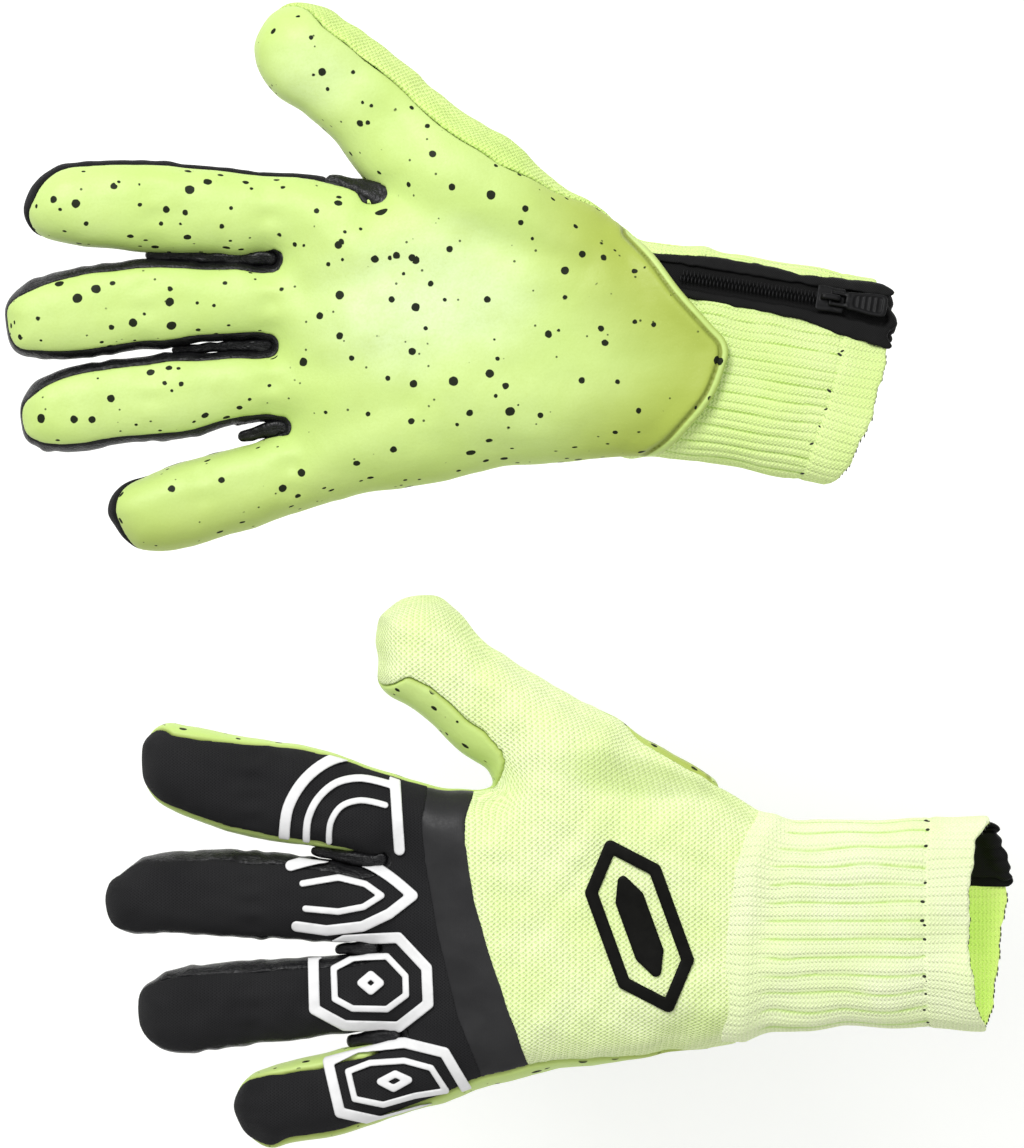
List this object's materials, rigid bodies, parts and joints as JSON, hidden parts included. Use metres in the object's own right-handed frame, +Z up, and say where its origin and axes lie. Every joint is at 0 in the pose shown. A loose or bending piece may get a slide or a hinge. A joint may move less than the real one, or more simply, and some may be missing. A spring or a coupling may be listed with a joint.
{
  "type": "goalkeeper gloves",
  "caption": "Pair of goalkeeper gloves with latex foam palms, black knuckle backs, knitted backs and cuffs, and zipped wrists; fingers, thumbs and zips move.",
  "frame": {"origin": "the middle of the layout of the two gloves, on the plane they lie on", "axes": "+Z up off the plane, fingers towards -X, cuffs towards +X, thumbs towards +Y; the right glove lies palm up on the +Y side, the left glove back up on the -Y side"},
  "size_m": [0.3332, 0.381, 0.0314],
  "materials": {
    "latex_foam": "matt cut latex foam, pale lime with dark specks",
    "lime_knit": "flat knitted polyester, lime",
    "black_knit": "woven stretch textile, black",
    "smooth_band": "smooth coated stretch film, satin black",
    "moulded_badge": "moulded soft plastic, glossy black",
    "zip_tape": "woven tape, black",
    "zip_plastic": "coil teeth, slider and pull, black"
  },
  "bodies": {
    "right_hand": {"right_palm_latex": "latex_foam", "right_back_knit": "lime_knit", "right_knuckle_panel": "black_knit", "right_knuckle_band": "smooth_band", "right_back_badge": "moulded_badge", "right_cuff_knit": "lime_knit", "right_zip_tape": "zip_tape", "right_zip_chain": "zip_plastic"},
    "right_slider": {"right_zip_slider": "zip_plastic"},
    "right_pull": {"right_zip_pull": "zip_plastic"},
    "right_thumb_base": {"right_thumb_base_palm": "latex_foam", "right_thumb_base_back": "lime_knit"},
    "right_thumb_tip": {"right_thumb_tip_palm": "latex_foam", "right_thumb_tip_back": "lime_knit"},
    "right_index_base": {"right_index_base_palm": "latex_foam", "right_index_base_back": "black_knit"},
    "right_index_tip": {"right_index_tip_palm": "latex_foam", "right_index_tip_back": "black_knit"},
    "right_middle_base": {"right_middle_base_palm": "latex_foam", "right_middle_base_back": "black_knit"},
    "right_middle_tip": {"right_middle_tip_palm": "latex_foam", "right_middle_tip_back": "black_knit"},
    "right_ring_base": {"right_ring_base_palm": "latex_foam", "right_ring_base_back": "black_knit"},
    "right_ring_tip": {"right_ring_tip_palm": "latex_foam", "right_ring_tip_back": "black_knit"},
    "right_little_base": {"right_little_base_palm": "latex_foam", "right_little_base_back": "black_knit"},
    "right_little_tip": {"right_little_tip_palm": "latex_foam", "right_little_tip_back": "black_knit"},
    "left_hand": {"left_palm_latex": "latex_foam", "left_back_knit": "lime_knit", "left_knuckle_panel": "black_knit", "left_knuckle_band": "smooth_band", "left_back_badge": "moulded_badge", "left_cuff_knit": "lime_knit", "left_zip_tape": "zip_tape", "left_zip_chain": "zip_plastic"},
    "left_slider": {"left_zip_slider": "zip_plastic"},
    "left_pull": {"left_zip_pull": "zip_plastic"},
    "left_thumb_base": {"left_thumb_base_palm": "latex_foam", "left_thumb_base_back": "lime_knit"},
    "left_thumb_tip": {"left_thumb_tip_palm": "latex_foam", "left_thumb_tip_back": "lime_knit"},
    "left_index_base": {"left_index_base_palm": "latex_foam", "left_index_base_back": "black_knit"},
    "left_index_tip": {"left_index_tip_palm": "latex_foam", "left_index_tip_back": "black_knit"},
    "left_middle_base": {"left_middle_base_palm": "latex_foam", "left_middle_base_back": "black_knit"},
    "left_middle_tip": {"left_middle_tip_palm": "latex_foam", "left_middle_tip_back": "black_knit"},
    "left_ring_base": {"left_ring_base_palm": "latex_foam", "left_ring_base_back": "black_knit"},
    "left_ring_tip": {"left_ring_tip_palm": "latex_foam", "left_ring_tip_back": "black_knit"},
    "left_little_base": {"left_little_base_palm": "latex_foam", "left_little_base_back": "black_knit"},
    "left_little_tip": {"left_little_tip_palm": "latex_foam", "left_little_tip_back": "black_knit"}
  },
  "joints": [
    {"name": "right_thumb_flex", "type": "hinge", "parent": "right_hand", "child": "right_thumb_base", "pos_m": [-0.02963, 0.1432, 0.0258], "axis": [0.6541, 0.7564, 0], "range_deg": [0, 50]},
    {"name": "right_thumb_curl", "type": "hinge", "parent": "right_thumb_base", "child": "right_thumb_tip", "pos_m": [-0.05257, 0.16303, 0.0258], "axis": [0.6541, 0.7564, 0], "range_deg": [0, 50]},
    {"name": "right_index_flex", "type": "hinge", "parent": "right_hand", "child": "right_index_base", "pos_m": [-0.07988, 0.1214, 0.0242], "axis": [0, 1, 0], "range_deg": [0, 70]},
    {"name": "right_index_curl", "type": "hinge", "parent": "right_index_base", "child": "right_index_tip", "pos_m": [-0.11563, 0.1224, 0.0242], "axis": [0, 1, 0], "range_deg": [0, 70]},
    {"name": "right_middle_flex", "type": "hinge", "parent": "right_hand", "child": "right_middle_base", "pos_m": [-0.07883, 0.0912, 0.0242], "axis": [0, 1, 0], "range_deg": [0, 70]},
    {"name": "right_middle_curl", "type": "hinge", "parent": "right_middle_base", "child": "right_middle_tip", "pos_m": [-0.11863, 0.0895, 0.0242], "axis": [0, 1, 0], "range_deg": [0, 70]},
    {"name": "right_ring_flex", "type": "hinge", "parent": "right_hand", "child": "right_ring_base", "pos_m": [-0.07883, 0.0628, 0.0242], "axis": [0, 1, 0], "range_deg": [0, 70]},
    {"name": "right_ring_curl", "type": "hinge", "parent": "right_ring_base", "child": "right_ring_tip", "pos_m": [-0.11663, 0.0583, 0.0242], "axis": [0, 1, 0], "range_deg": [0, 70]},
    {"name": "right_little_flex", "type": "hinge", "parent": "right_hand", "child": "right_little_base", "pos_m": [-0.07213, 0.0341, 0.0242], "axis": [0, 1, 0], "range_deg": [0, 70]},
    {"name": "right_little_curl", "type": "hinge", "parent": "right_little_base", "child": "right_little_tip", "pos_m": [-0.09963, 0.0247, 0.0242], "axis": [0, 1, 0], "range_deg": [0, 70]},
    {"name": "right_zip_run", "type": "slide", "parent": "right_hand", "child": "right_slider", "axis": [-0.9863, 0.165, 0], "range_m": [0, 0.04]},
    {"name": "right_pull_turn", "type": "hinge", "parent": "right_slider", "child": "right_pull", "pos_m": [0.11034, 0.09228, 0.02776], "axis": [-0.1568, -0.9369, 0.3123], "range_deg": [0, 155]},
    {"name": "left_thumb_flex", "type": "hinge", "parent": "left_hand", "child": "left_thumb_base", "pos_m": [0.00657, -0.0518, -0.0002], "axis": [-0.5898, -0.8075, 0], "range_deg": [0, 50]},
    {"name": "left_thumb_curl", "type": "hinge", "parent": "left_thumb_base", "child": "left_thumb_tip", "pos_m": [-0.01828, -0.03365, -0.0002], "axis": [-0.5898, -0.8075, 0], "range_deg": [0, 50]},
    {"name": "left_index_flex", "type": "hinge", "parent": "left_hand", "child": "left_index_base", "pos_m": [-0.04533, -0.0801, -0.0002], "axis": [0, -1, 0], "range_deg": [0, 70]},
    {"name": "left_index_curl", "type": "hinge", "parent": "left_index_base", "child": "left_index_tip", "pos_m": [-0.08263, -0.0712, -0.0002], "axis": [0, -1, 0], "range_deg": [0, 70]},
    {"name": "left_middle_flex", "type": "hinge", "parent": "left_hand", "child": "left_middle_base", "pos_m": [-0.04433, -0.1104, -0.0002], "axis": [0, -1, 0], "range_deg": [0, 70]},
    {"name": "left_middle_curl", "type": "hinge", "parent": "left_middle_base", "child": "left_middle_tip", "pos_m": [-0.08663, -0.1081, -0.0002], "axis": [0, -1, 0], "range_deg": [0, 70]},
    {"name": "left_ring_flex", "type": "hinge", "parent": "left_hand", "child": "left_ring_base", "pos_m": [-0.04373, -0.1398, -0.0002], "axis": [0, -1, 0], "range_deg": [0, 70]},
    {"name": "left_ring_curl", "type": "hinge", "parent": "left_ring_base", "child": "left_ring_tip", "pos_m": [-0.08213, -0.1436, -0.0002], "axis": [0, -1, 0], "range_deg": [0, 70]},
    {"name": "left_little_flex", "type": "hinge", "parent": "left_hand", "child": "left_little_base", "pos_m": [-0.03563, -0.1683, -0.0002], "axis": [0, -1, 0], "range_deg": [0, 70]},
    {"name": "left_little_curl", "type": "hinge", "parent": "left_little_base", "child": "left_little_tip", "pos_m": [-0.06113, -0.1755, -0.0002], "axis": [0, -1, 0], "range_deg": [0, 70]},
    {"name": "left_zip_run", "type": "slide", "parent": "left_hand", "child": "left_slider", "axis": [-1, 0, 0], "range_m": [0, 0.04]},
    {"name": "left_pull_turn", "type": "hinge", "parent": "left_slider", "child": "left_pull", "pos_m": [0.13697, -0.09118, 0.00295], "axis": [0, 0.95, 0.3123], "range_deg": [0, 155]},
    {"name": "pair_apart", "type": "slide", "parent": "right_hand", "child": "left_hand", "axis": [0, -1, 0], "range_m": [0, 0.12]}
  ],
  "couplings": [
    {"joint": "right_thumb_curl", "follows": "right_thumb_flex", "ratio": 1},
    {"joint": "right_index_curl", "follows": "right_index_flex", "ratio": 1},
    {"joint": "right_middle_curl", "follows": "right_middle_flex", "ratio": 1},
    {"joint": "right_ring_curl", "follows": "right_ring_flex", "ratio": 1},
    {"joint": "right_little_curl", "follows": "right_little_flex", "ratio": 1},
    {"joint": "left_thumb_curl", "follows": "left_thumb_flex", "ratio": 1},
    {"joint": "left_index_curl", "follows": "left_index_flex", "ratio": 1},
    {"joint": "left_middle_curl", "follows": "left_middle_flex", "ratio": 1},
    {"joint": "left_ring_curl", "follows": "left_ring_flex", "ratio": 1},
    {"joint": "left_little_curl", "follows": "left_little_flex", "ratio": 1}
  ]
}
